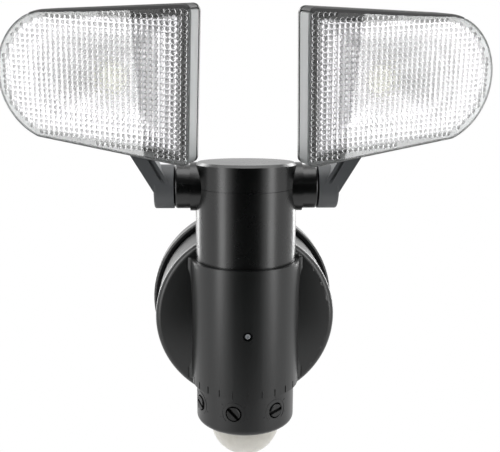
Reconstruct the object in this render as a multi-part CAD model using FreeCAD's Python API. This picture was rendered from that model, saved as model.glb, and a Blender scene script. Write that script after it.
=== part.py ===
import FreeCAD, Part
import math
import os

os.makedirs("parts", exist_ok=True)

# Twin-head motion sensor security light, in millimetres.
# The wall is the plane y = 0, the front faces -Y, +Z is up, and the origin is the
# centre of the wall plate's back face.

# wall plate and its fittings
plate_depth = 12.0
plate_floor = 2.6
plate_rim_wall = 3.4
plate_edge_round = 1.6
gasket_inset = 2.7
gasket_width = 3.0
gasket_thickness = 1.2
wall_slot_spacing = 76.0
wall_slot_width = 4.6
wall_slot_length = 10.0
wall_slot_boss_wall = 2.4
wall_slot_boss_height = 3.2
cable_hole_radius = 10.0
cable_hole_drop = 26.0
cable_radius = 4.0
grommet_lip = 1.8
grommet_lip_thickness = 1.4
grommet_cone_height = 5.0

# moulded base housing: round drum and vertical sleeve in one piece
drum_radius = 55.6
drum_front = 54.0
drum_bulge = 6.2
drum_edge_round = 4.0
drum_wall = 2.2
drum_plate_clearance = 0.7
drum_floor_clearance = 0.5
sleeve_wall = 2.4
sleeve_top = 38.9
sleeve_bottom = -38.8
sleeve_blend = 3.2
sleeve_blend_depth = 1.6
tick_step = 15.0
tick_count = 11
tick_width = 0.9
tick_height = 4.6
tick_depth = 0.45
base_screw_angle = 36.0
base_screw_radius = 1.6
base_screw_head_radius = 2.9
base_screw_head_height = 2.0
base_screw_length = 9.0
base_boss_size = 9.0
base_boss_depth = 6.0

# column
column_standoff = 58.0
column_radius = 30.0
column_wall = 2.4
column_clearance = 0.3
column_bottom = -10.0
seam_height = 83.0
cap_height = 15.9
cap_fall = 2.4
cap_chamfer = 1.5
seam_line_height = 0.35
seam_line_depth = 0.6
cap_lip_height = 4.0
cap_lip_wall = 1.6
fit_gap = 0.3
lock_screw_radius = 2.0
lock_screw_head_radius = 2.5
lock_screw_head_height = 2.0
lock_screw_recess = 0.6
lock_screw_length = 9.0
lock_socket_radius = 1.2
lock_socket_depth = 1.2
lock_socket_sides = 6
lock_boss_radius = 4.6
lock_boss_depth = 6.0
board_rail_width = 1.8
board_rail_depth = 3.0
board_rail_gap = 0.2

# shoulder stubs, on the column's seam
stub_radius = 13.0
stub_length = 9.0
stub_end_round = 1.6
collar_step = 1.4
collar_length = 3.0
seal_offset = 2.6
seal_radius = 0.9
seal_groove_depth = 1.4

# arms
spigot_radius = 7.0
spigot_clearance = 0.05
spigot_hole_radius = 3.2
spigot_tail = 1.2
clip_groove_depth = 1.0
clip_thickness = 1.2
clip_reach = 2.4
clip_pad_depth = 2.2
clip_pad_margin = 0.8
clip_offset = 0.35
clip_opening = 7.0
knuckle_gap = 0.45
knuckle_length = 11.6
knuckle_step = 0.0
knuckle_edge_round = 1.2
bar_width = 13.0
bar_depth = 11.0
bar_groove_width = 2.0
bar_groove_depth = 1.0
swivel_reach = 71.3
arm_rise = 49.0
ear_radius = 6.4
ear_thickness = 4.0
fork_web = 4.0
fork_web_clearance = 1.2
tongue_radius = 5.8
tongue_height = 13.4
tongue_gap = 0.3
pin_radius = 2.5
pin_head_radius = 4.0
pin_head_height = 1.6
pin_clearance = 0.05

# lamp heads, drawn as the right one: u runs outward, v up, w back from the lens face
head_inner_height = 82.0
head_top_run = 81.2
head_bottom_run = 89.8
head_end_half_height = 34.0
head_length = 113.5
head_tip_rise = 1.5
head_corner_round = 4.0
head_lean = 1.8
head_rise = 18.2
head_swivel_run = 57.6
head_swivel_room = 3.0
head_arm_gap = 0.7
lens_skirt = 10.5
lens_wall = 1.8
lens_bevel = 0.8
lens_gap = 0.2
gasket_seat = 1.0
shell_flange_depth = 1.5
shell_back_inset = 11.0
shell_depth = 26.0
shell_wall = 2.2
fin_count = 7
fin_width = 1.6
fin_height = 2.4
fin_pitch = 9.0
reflector_front_gap = 0.8
reflector_inset = 5.4
reflector_floor_inset = 19.0
reflector_depth = 16.0
reflector_wall = 0.9
led_run = 50.0
led_size = 19.0
led_height = 1.2
led_emitter_radius = 7.3
led_emitter_height = 0.3
led_opening_margin = 0.6
led_board_length = 56.0
led_board_height = 30.0
led_board_thickness = 1.6
head_screw_radius = 1.4
head_screw_head_radius = 2.6
head_screw_head_height = 1.6
head_screw_inset = 6.5
head_boss_radius = 4.4
head_boss_gap = 0.5

# poses of the photographed light, in degrees
left_tilt = 6.5
left_swivel = 21.5
right_tilt = 7.5
right_swivel = 19.0
sensor_turn = -15.7

# sensor head
sensor_radius = 30.2
sensor_height = 24.7
sensor_wall = 2.0
sensor_edge_round = 3.4
neck_clearance = 0.08
neck_rise = 3.0
neck_wall = 2.0
ledge_width = 3.3
ledge_rise = 18.1
ledge_thickness = 3.0
ring_clearance = 1.1
ring_thickness = 1.8
ring_groove_depth = 1.0
dome_radius = 21.4
dome_drop = 2.5
dome_wall = 1.2
dome_flange = 3.2
dome_hole_clearance = 0.2
retainer_thickness = 2.4
retainer_width = 5.0
sensor_board_margin = 4.2
sensor_board_gap = 0.3
sensor_board_thickness = 1.6
pir_radius = 4.6
pir_height = 4.2
pir_window = 3.0
pir_holder_wall = 1.6
pir_rise = 3.8
dial_radius = 4.6
dial_drop = 10.2
dial_spacing = 51.0
dial_proud = 0.6
dial_thickness = 3.4
dial_clearance = 0.3
dial_slot_width = 1.7
dial_slot_depth = 1.1
dial_stem_radius = 1.5
dial_stem_length = 5.5
stem_clearance = 0.05
pot_size = 9.0
pot_depth = 5.5
left_dial_turn = 20.0
middle_dial_turn = 45.0
right_dial_turn = -10.0

# electronics in the column and on the wall plate
driver_board_width = 44.0
driver_board_height = 60.0
driver_board_base = 6.0
driver_board_thickness = 1.6
transformer_width = 22.0
transformer_depth = 17.0
transformer_length = 20.0
transformer_height = 16.0
winding_radius = 8.0
capacitor_radius = 6.5
capacitor_length = 20.0
capacitor_height = 50.0
terminal_length = 30.0
terminal_height = 14.0
terminal_depth = 12.0
terminal_rise = 18.0
terminal_poles = 3
terminal_well_radius = 2.6
terminal_screw_radius = 2.0
terminal_screw_height = 1.6
terminal_screw_sink = 3.0
terminal_entry_radius = 1.9
clamp_length = 24.0
clamp_height = 8.0
clamp_thickness = 3.0
clamp_screw_spacing = 16.0
clamp_screw_radius = 1.5
clamp_screw_head_radius = 2.8
clamp_screw_head_height = 1.8
clamp_boss_height = 5.0
clamp_drop = 6.0

plate_radius = drum_radius + drum_plate_clearance + plate_rim_wall
gasket_radius = plate_radius - gasket_inset
column_y = -column_standoff
column_bore = column_radius - column_wall
sleeve_bore = column_radius + column_clearance
sleeve_radius = sleeve_bore + sleeve_wall
collar_radius = stub_radius + collar_step
collar_reach = column_radius + collar_length
stub_reach = collar_reach + stub_length
stub_bore_radius = spigot_radius + spigot_clearance
seal_groove_radius = spigot_radius + seal_offset
clip_radius = spigot_radius + clip_reach
clip_seat = column_bore - clip_pad_depth
knuckle_radius = stub_radius + knuckle_step
head_poses = {"left": {"tilt": left_tilt, "swivel": left_swivel},
              "right": {"tilt": right_tilt, "swivel": right_swivel}}
swivel_y = column_y
swivel_height = seam_height + arm_rise
head_centre_height = swivel_height + head_rise
head_swivel_depth = shell_depth + fin_height + ear_radius + head_swivel_room
head_boss_start = reflector_depth + reflector_wall + led_board_thickness + head_boss_gap
sensor_top = sleeve_bottom - fit_gap
sensor_bottom = sensor_top - sensor_height
ledge_radius = sleeve_bore - ledge_width
ledge_top = sensor_top + ledge_rise
neck_radius = ledge_radius - neck_clearance
neck_top = ledge_top + neck_rise
ring_radius = sleeve_bore - ring_clearance
dome_centre = sensor_bottom - dome_drop
sensor_board_radius = sensor_radius - sensor_wall - sensor_board_margin
sensor_board_height = sensor_top - sensor_wall - sensor_board_thickness - sensor_board_gap
pir_face = sensor_bottom + pir_rise
dial_height = sensor_top - dial_drop
dial_turns = {"left": left_dial_turn, "middle": middle_dial_turn, "right": right_dial_turn}
cut_margin = 1.0
edge_tolerance = 0.01
full_turn = 360.0
X_AXIS = FreeCAD.Vector(1, 0, 0)
Y_AXIS = FreeCAD.Vector(0, 1, 0)
Z_AXIS = FreeCAD.Vector(0, 0, 1)
ORIGIN = FreeCAD.Vector(0, 0, 0)
COLUMN_AXIS = FreeCAD.Vector(0, column_y, 0)
SHOULDER = FreeCAD.Vector(0, column_y, seam_height)


def vec(x, y, z):
    return FreeCAD.Vector(x, y, z)


def rod_x(radius, x0, x1, y, z):
    return Part.makeCylinder(radius, x1 - x0, vec(x0, y, z), X_AXIS)


def rod_y(radius, y0, y1, x, z):
    return Part.makeCylinder(radius, y1 - y0, vec(x, y0, z), Y_AXIS)


def rod_z(radius, z0, z1, x=0.0, y=column_y):
    return Part.makeCylinder(radius, z1 - z0, vec(x, y, z0), Z_AXIS)


def box(x0, x1, y0, y1, z0, z1):
    return Part.makeBox(x1 - x0, y1 - y0, z1 - z0, vec(x0, y0, z0))


def polygon(points):
    return Part.makePolygon(points + [points[0]])


def save(shape, node):
    shape.exportStep("parts/" + node + ".step")
    print(node, round(shape.Volume, 1), "mm3")


# ---------------------------------------------------------------- wall plate

def slot_x(x, width, length, y0, y1):
    half = (length - width) / 2
    slot = rod_y(width / 2, y0, y1, x - half, 0).fuse(rod_y(width / 2, y0, y1, x + half, 0))
    return slot.fuse(box(x - half, x + half, y0, y1, -width / 2, width / 2))


def wall_plate():
    disc = rod_y(plate_radius, -plate_depth, 0, 0, 0)
    front_edges = [edge for edge in disc.Edges
                   if edge.isClosed() and abs(edge.CenterOfMass.y + plate_depth) < edge_tolerance]
    disc = disc.makeFillet(plate_edge_round, front_edges)
    well = rod_y(plate_radius - plate_rim_wall, -plate_depth - cut_margin, -plate_floor, 0, 0)
    plate = disc.cut(well)
    for side in (-1, 1):
        x = side * wall_slot_spacing / 2
        boss_width = wall_slot_width + 2 * wall_slot_boss_wall
        boss_length = wall_slot_length + 2 * wall_slot_boss_wall
        floor = -plate_floor
        boss = slot_x(x, boss_width, boss_length, floor - wall_slot_boss_height, floor)
        plate = plate.fuse(boss)
        plate = plate.cut(slot_x(x, wall_slot_width, wall_slot_length, -plate_depth, cut_margin))
    for x in clamp_screw_places():
        post = rod_y(clamp_screw_head_radius, clamp_seat(), -plate_floor, x, clamp_z())
        hole = rod_y(clamp_screw_radius, clamp_seat() - cut_margin, -plate_floor, x, clamp_z())
        plate = plate.fuse(post).cut(hole)
    plate = plate.cut(rod_y(cable_hole_radius, -plate_depth, cut_margin, 0, -cable_hole_drop))
    groove = rod_y(gasket_radius, -gasket_thickness, cut_margin, 0, 0)
    groove = groove.cut(rod_y(gasket_radius - gasket_width, -plate_depth, 2 * cut_margin, 0, 0))
    plate = plate.cut(groove)
    for direction in base_screw_directions():
        plate = plate.cut(base_screw_clearance(direction))
    return plate.removeSplitter()


def wall_gasket():
    ring = rod_y(gasket_radius, -gasket_thickness, 0, 0, 0)
    return ring.cut(rod_y(gasket_radius - gasket_width, -plate_depth, cut_margin, 0, 0))


def cable_grommet():
    outer = cable_hole_radius + grommet_lip
    inside = -plate_floor - grommet_lip_thickness
    body = rod_y(cable_hole_radius, -plate_floor, 0, 0, -cable_hole_drop)
    body = body.fuse(rod_y(outer, inside, -plate_floor, 0, -cable_hole_drop))
    nose = Part.makeCone(cable_hole_radius, cable_radius + grommet_lip, grommet_cone_height,
                         vec(0, inside, -cable_hole_drop), -Y_AXIS)
    body = body.fuse(nose)
    passage = rod_y(cable_radius, inside - 2 * grommet_cone_height, cut_margin, 0, -cable_hole_drop)
    return body.cut(passage)


def clamp_z():
    """Height of the cable clamp, clear of the grommet below it."""
    return -cable_hole_drop + cable_hole_radius + clamp_drop


def clamp_seat():
    return -plate_floor - clamp_boss_height


def clamp_screw_places():
    return [-clamp_screw_spacing / 2, clamp_screw_spacing / 2]


def cable_clamp():
    seat = clamp_seat()
    low, high = clamp_z() - clamp_height / 2, clamp_z() + clamp_height / 2
    bar = box(-clamp_length / 2, clamp_length / 2, seat - clamp_thickness, seat, low, high)
    bar = bar.cut(rod_z(cable_radius, low - cut_margin, high + cut_margin, y=seat + cable_radius / 2))
    hole_radius = clamp_screw_radius + fit_gap
    for x in clamp_screw_places():
        bar = bar.cut(rod_y(hole_radius, seat - 2 * clamp_thickness, seat + cut_margin, x, clamp_z()))
    return bar


def pan_screw_y(x, z, seat, thread_end, radius, head_radius, head_height):
    screw = rod_y(radius, seat, thread_end, x, z)
    screw = screw.fuse(rod_y(head_radius, seat - head_height, seat, x, z))
    slot_half = radius / 3
    slot = box(x - head_radius, x + head_radius, seat - 2 * head_height, seat - head_height / 2,
               z - slot_half, z + slot_half)
    return screw.cut(slot)


def clamp_screws():
    seat = clamp_seat() - clamp_thickness
    return Part.makeCompound([pan_screw_y(x, clamp_z(), seat, -plate_floor, clamp_screw_radius,
                                          clamp_screw_head_radius, clamp_screw_head_height)
                              for x in clamp_screw_places()])


def terminal_pole_places():
    pitch = terminal_length / terminal_poles
    return [(index - (terminal_poles - 1) / 2) * pitch for index in range(terminal_poles)]


def terminal_block():
    back, front = -plate_floor, -plate_floor - terminal_depth
    low, high = terminal_rise, terminal_rise + terminal_height
    block = box(-terminal_length / 2, terminal_length / 2, front, back, low, high)
    middle = (low + high) / 2
    pitch = terminal_length / terminal_poles
    well_floor = front + terminal_depth / 2
    entry_y = front + 2 * terminal_depth / 3
    for x in terminal_pole_places():
        block = block.cut(rod_y(terminal_well_radius, front - cut_margin, well_floor, x, middle))
        block = block.cut(rod_z(terminal_entry_radius, low - cut_margin, high + cut_margin, x, entry_y))
    for pole_x in terminal_pole_places()[1:]:
        x = pole_x - pitch / 2
        notch = box(x - fit_gap, x + fit_gap, front - cut_margin, front + terminal_depth / 3,
                    low - cut_margin, high + cut_margin)
        block = block.cut(notch)
    return block


def terminal_screws():
    front = -plate_floor - terminal_depth
    middle = terminal_rise + terminal_height / 2
    top = front + terminal_screw_sink
    slot_floor = top + terminal_screw_height / 2
    screws = []
    for x in terminal_pole_places():
        screw = rod_y(terminal_screw_radius, top, front + terminal_depth / 2, x, middle)
        slot = box(x - terminal_screw_radius, x + terminal_screw_radius, front, slot_floor,
                   middle - fit_gap, middle + fit_gap)
        screws.append(screw.cut(slot))
    return Part.makeCompound(screws)


# ---------------------------------------------------------------- base housing

def base_screw_directions():
    angles = [math.radians(-90 - base_screw_angle), math.radians(-90 + base_screw_angle)]
    return [vec(math.cos(angle), 0, math.sin(angle)) for angle in angles]


def base_screw_seat():
    return plate_radius - base_screw_head_height


def base_screw_point(direction, radius):
    return vec(direction.x * radius, -plate_depth / 2, direction.z * radius)


def base_screw_clearance(direction):
    shank_foot = base_screw_point(direction, plate_radius - plate_rim_wall - cut_margin)
    shank = Part.makeCylinder(base_screw_radius + fit_gap, plate_rim_wall + 2 * cut_margin,
                              shank_foot, direction)
    sink = Part.makeCylinder(base_screw_head_radius + fit_gap, base_screw_head_height + cut_margin,
                             base_screw_point(direction, base_screw_seat()), direction)
    return shank.fuse(sink)


def radial_turn(direction):
    """Turn about Y, in degrees, that takes +Z to a direction in the wall plane."""
    return math.degrees(math.atan2(direction.x, direction.z))


def base_screws():
    screws = []
    for direction in base_screw_directions():
        seat = base_screw_seat()
        shank = Part.makeCylinder(base_screw_radius, base_screw_length,
                                  base_screw_point(direction, seat - base_screw_length), direction)
        head = Part.makeCylinder(base_screw_head_radius, base_screw_head_height,
                                 base_screw_point(direction, seat), direction)
        half = base_screw_radius / 4
        slot = box(-half, half, -base_screw_head_radius, base_screw_head_radius,
                   base_screw_head_height / 2, 2 * base_screw_head_height)
        slot.rotate(ORIGIN, Y_AXIS, radial_turn(direction))
        slot.translate(base_screw_point(direction, seat))
        screws.append(shank.fuse(head).cut(slot))
    return Part.makeCompound(screws)


def drum_body(radius, front, bulge, back, edge_round):
    """A solid of revolution about Y: domed front, straight side, flat back."""
    tip = vec(0, -front - bulge, 0)
    rim = vec(radius, 0, 0)
    middle = vec(radius / 2, -front - bulge * 3 / 4, 0)
    corner = vec(radius, -front, 0)
    dome = Part.Arc(tip, middle, corner).toShape()
    side = Part.LineSegment(corner, vec(rim.x, back, 0)).toShape()
    base = Part.LineSegment(vec(rim.x, back, 0), vec(0, back, 0)).toShape()
    spine = Part.LineSegment(vec(0, back, 0), tip).toShape()
    face = Part.Face(Part.Wire([dome, side, base, spine]))
    solid = face.revolve(ORIGIN, Y_AXIS, full_turn)
    rim_edges = [edge for edge in solid.Edges
                 if max(abs(edge.BoundBox.YMax + front), abs(edge.BoundBox.YMin + front)) < edge_tolerance]
    return solid.makeFillet(edge_round, rim_edges)


def sleeve_prism(bottom, top):
    """The sleeve's outside with the concave blends that run into the drum's face."""
    face_y = -drum_front - sleeve_blend_depth
    centre_y = face_y - sleeve_blend
    reach = sleeve_radius + sleeve_blend
    centre_x = math.sqrt(reach ** 2 - (centre_y - column_y) ** 2)
    touch_x = centre_x * sleeve_radius / reach
    touch_y = column_y + (centre_y - column_y) * sleeve_radius / reach
    toward = math.atan2(touch_y - centre_y, touch_x - centre_x)
    turn = (toward + math.pi / 2 + 2 * math.pi) % (2 * math.pi)
    middle_angle = math.pi / 2 + turn / 2 if turn < math.pi else toward / 2 + math.pi / 4
    middle_x = centre_x + sleeve_blend * math.cos(middle_angle)
    middle_y = centre_y + sleeve_blend * math.sin(middle_angle)
    back_y = column_y + sleeve_radius / 2
    right = [vec(touch_x, touch_y, bottom), vec(middle_x, middle_y, bottom),
             vec(centre_x, face_y, bottom)]
    left = [vec(-point.x, point.y, point.z) for point in right]
    nose = vec(0, column_y - sleeve_radius, bottom)
    edges = [Part.Arc(left[0], nose, right[0]).toShape(), Part.Arc(*right).toShape(),
             Part.LineSegment(right[2], vec(centre_x, back_y, bottom)).toShape(),
             Part.LineSegment(vec(centre_x, back_y, bottom), vec(-centre_x, back_y, bottom)).toShape(),
             Part.LineSegment(vec(-centre_x, back_y, bottom), left[2]).toShape(),
             Part.Arc(left[2], left[1], left[0]).toShape()]
    return Part.Face(Part.Wire(edges)).extrude(vec(0, 0, top - bottom))


def sleeve_ticks():
    ticks = []
    front = column_y - sleeve_radius
    for index in range(tick_count):
        angle = (index - (tick_count - 1) / 2) * tick_step
        tick = box(-tick_width / 2, tick_width / 2, front - cut_margin, front + tick_depth,
                   sleeve_bottom - cut_margin, sleeve_bottom + tick_height)
        ticks.append(tick.rotated(COLUMN_AXIS, Z_AXIS, angle))
    return Part.makeCompound(ticks)


def base_housing():
    back = -plate_floor - drum_floor_clearance
    drum = drum_body(drum_radius, drum_front, drum_bulge, back, drum_edge_round)
    cavity = drum_body(drum_radius - drum_wall, drum_front - drum_wall, drum_bulge, back + cut_margin,
                       drum_edge_round)
    liner = rod_z(sleeve_radius, -drum_radius, drum_radius).common(drum)
    skin = drum.fuse(sleeve_prism(sleeve_bottom, sleeve_top)).cut(cavity)
    for direction in base_screw_directions():
        skin = skin.fuse(base_boss(direction).common(drum))
    housing = skin.fuse(liner)
    housing = housing.cut(rod_z(sleeve_bore, ledge_top, drum_radius + cut_margin))
    housing = housing.cut(rod_z(sleeve_bore, -drum_radius - cut_margin, ledge_top - ledge_thickness))
    housing = housing.cut(rod_z(ledge_radius, -drum_radius, drum_radius))
    housing = housing.cut(sensor_sweep())
    for direction in base_screw_directions():
        foot = base_screw_point(direction, base_screw_seat() - base_screw_length)
        housing = housing.cut(Part.makeCylinder(base_screw_radius, base_screw_length + cut_margin,
                                                foot, direction))
    housing = housing.cut(sleeve_ticks())
    housing = housing.cut(lock_screw_hole(fit_gap))
    return housing.removeSplitter()


def sensor_sweep():
    """Room in the drum's underside for the sensor head and its dials as it turns."""
    sweep_radius = math.hypot(sensor_radius + dial_proud, dial_radius) + fit_gap
    return rod_z(sweep_radius, -drum_radius - cut_margin, sleeve_bottom)


def base_boss(direction):
    half = base_boss_size / 2
    boss = box(-half, half, -plate_depth / 2 - half, -plate_floor - drum_floor_clearance,
               drum_radius - base_boss_depth, drum_radius)
    boss.rotate(ORIGIN, Y_AXIS, radial_turn(direction))
    return boss


def lock_screw_hole(gap):
    seat = column_y - sleeve_radius + lock_screw_recess + lock_screw_head_height
    sink = rod_y(lock_screw_head_radius + gap, column_y - sleeve_radius - cut_margin, seat, 0, 0)
    return sink.fuse(rod_y(lock_screw_radius + gap, seat, column_y - column_radius + cut_margin, 0, 0))


def column_lock_screw():
    front = column_y - sleeve_radius + lock_screw_recess
    seat = front + lock_screw_head_height
    screw = rod_y(lock_screw_head_radius, front, seat, 0, 0)
    screw = screw.fuse(rod_y(lock_screw_radius, seat, seat + lock_screw_length, 0, 0))
    corners = []
    for corner in range(lock_socket_sides):
        angle = 2 * math.pi * corner / lock_socket_sides
        corners.append(vec(lock_socket_radius * math.cos(angle), front, lock_socket_radius * math.sin(angle)))
    socket = Part.Face(polygon(corners)).extrude(vec(0, lock_socket_depth, 0))
    return screw.cut(socket)


# ---------------------------------------------------------------- column

def shoulder_half(lower):
    """Half of both shoulder stubs with their collars, on one side of the seam."""
    stubs = rod_x(stub_radius, -stub_reach, stub_reach, column_y, seam_height)
    end_edges = [edge for edge in stubs.Edges if edge.isClosed()]
    stubs = stubs.makeFillet(stub_end_round, end_edges)
    stubs = stubs.fuse(rod_x(collar_radius, -collar_reach, collar_reach, column_y, seam_height))
    return stubs.common(seam_side(lower))


def clip_pads():
    """Flat seats inside the column for the arms' clips."""
    radius = clip_radius + clip_pad_margin
    pads = rod_x(radius, -column_radius, column_radius, column_y, seam_height)
    pads = pads.cut(rod_x(radius + cut_margin, -clip_seat, clip_seat, column_y, seam_height))
    outside = column_radius - column_wall / 2
    return pads.common(rod_z(outside, seam_height - 2 * radius, seam_height + 2 * radius))


def seam_side(lower):
    """A block that holds everything on one side of the seam."""
    span = stub_reach + cut_margin
    low, high = (-column_radius, 0) if lower else (0, column_radius)
    return box(-span, span, column_y - span, column_y + span, seam_height + low, seam_height + high)


def shoulder_bores():
    end = stub_reach + cut_margin
    bore = rod_x(stub_bore_radius, -end, end, column_y, seam_height)
    depth = seal_groove_depth + cut_margin
    for side in (-1, 1):
        foot = vec(side * (stub_reach - seal_groove_depth), column_y, seam_height)
        groove = Part.makeCylinder(seal_groove_radius + seal_radius, depth, foot, X_AXIS * side)
        core = Part.makeCylinder(seal_groove_radius - seal_radius, depth, foot, X_AXIS * side)
        bore = bore.fuse(groove.cut(core))
    return bore


def column_tube():
    tube = rod_z(column_radius, column_bottom, seam_height)
    tube = tube.fuse(shoulder_half(True))
    tube = tube.cut(rod_z(column_bore, column_bottom - cut_margin, seam_height + cut_margin))
    tube = tube.fuse(lock_boss()).fuse(clip_pads().common(seam_side(True)))
    for side in (-1, 1):
        tube = tube.fuse(board_rail(side))
    front = column_y - column_radius
    tube = tube.cut(rod_y(lock_screw_radius, front - cut_margin, front + 2 * lock_boss_depth, 0, 0))
    tube = tube.cut(shoulder_bores())
    return tube.removeSplitter()


def lock_boss():
    front = column_y - column_radius
    boss = rod_y(lock_boss_radius, front, front + column_wall + lock_boss_depth, 0, 0)
    return boss.common(rod_z(column_radius, column_bottom, seam_height))


def board_rail(side):
    outside = column_bore + column_wall / 2
    half_width = driver_board_width / 2
    front = driver_board_front() - board_rail_gap
    back = front + driver_board_thickness + 2 * board_rail_gap
    low, high = driver_board_base - board_rail_gap, driver_board_base + driver_board_height
    x0, x1 = sorted((side * (half_width - board_rail_depth), side * outside))
    rail = box(x0, x1, front - board_rail_width, back + board_rail_width, low - board_rail_width, high)
    channel_half = half_width + board_rail_gap
    channel = box(-channel_half, channel_half, front, back, low, high + cut_margin)
    return rail.cut(channel).common(rod_z(outside, low - board_rail_width, high))


def driver_board_front():
    return column_y + column_radius / 4


def cap_blank():
    """The cap's outside: a top that falls toward the wall, a chamfer and a shadow line."""
    front = vec(0, column_y - column_radius, seam_height + cap_height)
    span = 2 * column_radius
    over = box(-span, span, front.y - span, front.y + 2 * span, front.z, front.z + span)
    slope = math.degrees(math.atan2(cap_fall, 2 * column_radius))
    blank = rod_z(column_radius, seam_height, front.z + cut_margin)
    blank = blank.cut(over.rotated(front, X_AXIS, -slope))
    top_edge = [edge for edge in blank.Edges
                if edge.isClosed() and edge.CenterOfMass.z > seam_height + edge_tolerance]
    blank = blank.makeChamfer(cap_chamfer, top_edge)
    line_top = seam_height + seam_line_height
    line = rod_z(column_radius + cut_margin, seam_height - cut_margin, line_top)
    core = rod_z(column_radius - seam_line_depth, seam_height - 2 * cut_margin, line_top + cut_margin)
    return blank.cut(line.cut(core))


def column_cap():
    ceiling = seam_height + cap_height - cap_fall - column_wall
    cap = cap_blank().fuse(shoulder_half(False))
    cap = cap.cut(rod_z(column_bore, seam_height - cut_margin, ceiling))
    lip_radius = column_bore - fit_gap
    low, high = seam_height - cap_lip_height, seam_height + cap_lip_height
    lip = rod_z(lip_radius, low, high).fuse(rod_z(column_bore, seam_height, high))
    lip = lip.cut(rod_z(lip_radius - cap_lip_wall, low - cut_margin, high + cut_margin))
    room = rod_x(clip_radius + 2 * clip_pad_margin, -column_radius, column_radius, column_y, seam_height)
    cap = cap.fuse(lip.cut(room))
    pads = clip_pads().common(seam_side(False)).common(rod_z(column_radius, seam_height, ceiling))
    return cap.fuse(pads).cut(shoulder_bores()).removeSplitter()


def arm_seal(side):
    ring = Part.makeTorus(seal_groove_radius, seal_radius,
                          vec(stub_reach - seal_groove_depth + seal_radius, column_y, seam_height), X_AXIS)
    return mirror_if_left(ring, side)


def driver_board():
    front = driver_board_front()
    half = driver_board_width / 2
    return box(-half, half, front, front + driver_board_thickness, driver_board_base,
               driver_board_base + driver_board_height)


def driver_transformer():
    width, depth, height = transformer_width, transformer_depth, transformer_length
    front = driver_board_front()
    low, high = transformer_height, transformer_height + height
    core = box(-width / 2, width / 2, front - depth, front, low, high)
    window_half = width / 2 - depth / 4
    window_low, window_high = low + height / 4, high - height / 4
    window = box(-window_half, window_half, front - depth - cut_margin, front + cut_margin,
                 window_low, window_high)
    leg = box(-width / 8, width / 8, front - depth, front, low, high)
    winding = rod_z(min(winding_radius, depth / 2), window_low, window_high, y=front - depth / 2)
    return core.cut(window).fuse(leg).fuse(winding)


def driver_capacitor():
    front = driver_board_front()
    half = capacitor_length / 2
    can = Part.makeCylinder(capacitor_radius, capacitor_length,
                            vec(-half, front - capacitor_radius, capacitor_height), X_AXIS)
    return can.makeFillet(cut_margin, [edge for edge in can.Edges if edge.isClosed()])


# ---------------------------------------------------------------- arms

def mirror_if_left(shape, side):
    return shape.mirror(ORIGIN, X_AXIS) if side == "left" else shape


def tilted(shape, side):
    """Tilts a right-hand piece about the shoulder axis, then mirrors it for the left."""
    return mirror_if_left(shape.rotated(SHOULDER, X_AXIS, head_poses[side]["tilt"]), side)


def swivelled(shape, side):
    """Turns a right-hand piece about the arm's pin before the tilt."""
    pin_foot = vec(swivel_reach, swivel_y, 0)
    return tilted(shape.rotated(pin_foot, Z_AXIS, head_poses[side]["swivel"]), side)


def knuckle_start():
    return stub_reach + knuckle_gap


def arm_bracket(side):
    start = knuckle_start()
    end = start + knuckle_length
    knuckle = rod_x(knuckle_radius, start, end, column_y, seam_height)
    outer_edge = [edge for edge in knuckle.Edges
                  if edge.isClosed() and abs(edge.CenterOfMass.x - end) < edge_tolerance]
    knuckle = knuckle.makeFillet(knuckle_edge_round, outer_edge)
    arm = knuckle.fuse(arm_bar(start, end)).fuse(arm_fork())
    arm = arm.fuse(rod_x(spigot_radius, spigot_end(), start, column_y, seam_height))
    arm = arm.cut(clip_ring(spigot_radius + cut_margin, spigot_radius - clip_groove_depth))
    arm = arm.cut(rod_x(spigot_hole_radius, spigot_end() - cut_margin, start + knuckle_length / 2,
                        column_y, seam_height))
    return tilted(arm.removeSplitter(), side)


def level_rectangle(x0, x1, y0, y1, z):
    return polygon([vec(x0, y0, z), vec(x1, y0, z), vec(x1, y1, z), vec(x0, y1, z)])


def arm_bar(start, end):
    """Straight leaning bar, from the knuckle's front half up to the fork."""
    foot_y0 = column_y - knuckle_radius
    top_z = fork_bottom()
    top_y0 = swivel_y - ear_radius
    half = bar_width / 2
    foot = level_rectangle(start, end, foot_y0, foot_y0 + bar_depth, seam_height)
    head = level_rectangle(swivel_reach - half, swivel_reach + half, top_y0, top_y0 + bar_depth, top_z)
    bar = Part.makeLoft([foot, head], True, True)
    return bar.cut(arm_bar_groove(start, foot_y0, top_y0, top_z))


def arm_bar_groove(start, foot_y0, top_y0, top_z):
    """Shallow channel along the bar's inner front edge."""
    lines = []
    for x, y, z in ((start, foot_y0, seam_height), (swivel_reach - bar_width / 2, top_y0, top_z)):
        left = x + bar_groove_width
        lines.append(level_rectangle(left, left + bar_groove_width, y - cut_margin, y + bar_groove_depth, z))
    return Part.makeLoft(lines, True, True)


def tongue_bottom():
    return swivel_height - tongue_height / 2


def tongue_top():
    return swivel_height + tongue_height / 2


def fork_bottom():
    return tongue_bottom() - tongue_gap - ear_thickness


def fork_top():
    return tongue_top() + tongue_gap + ear_thickness


def arm_fork():
    y = swivel_y
    web_front = y + tongue_radius + fork_web_clearance
    web_back = web_front + fork_web
    fork = rod_z(ear_radius, fork_bottom(), fork_top(), swivel_reach, y)
    fork = fork.fuse(box(swivel_reach - ear_radius, swivel_reach + ear_radius, y, web_back,
                         fork_bottom(), fork_top()))
    room = box(swivel_reach - 2 * ear_radius, swivel_reach + 2 * ear_radius, y - 2 * ear_radius, web_front,
               tongue_bottom() - tongue_gap, tongue_top() + tongue_gap)
    fork = fork.cut(room)
    return fork.cut(rod_z(pin_radius, fork_bottom() - cut_margin, fork_top() + cut_margin, swivel_reach, y))


def swivel_pin(side):
    y = swivel_y
    top = fork_top()
    pin = rod_z(pin_radius, fork_bottom(), top, swivel_reach, y)
    head = rod_z(pin_head_radius, top, top + pin_head_height, swivel_reach, y)
    return tilted(pin.fuse(head), side)


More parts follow.
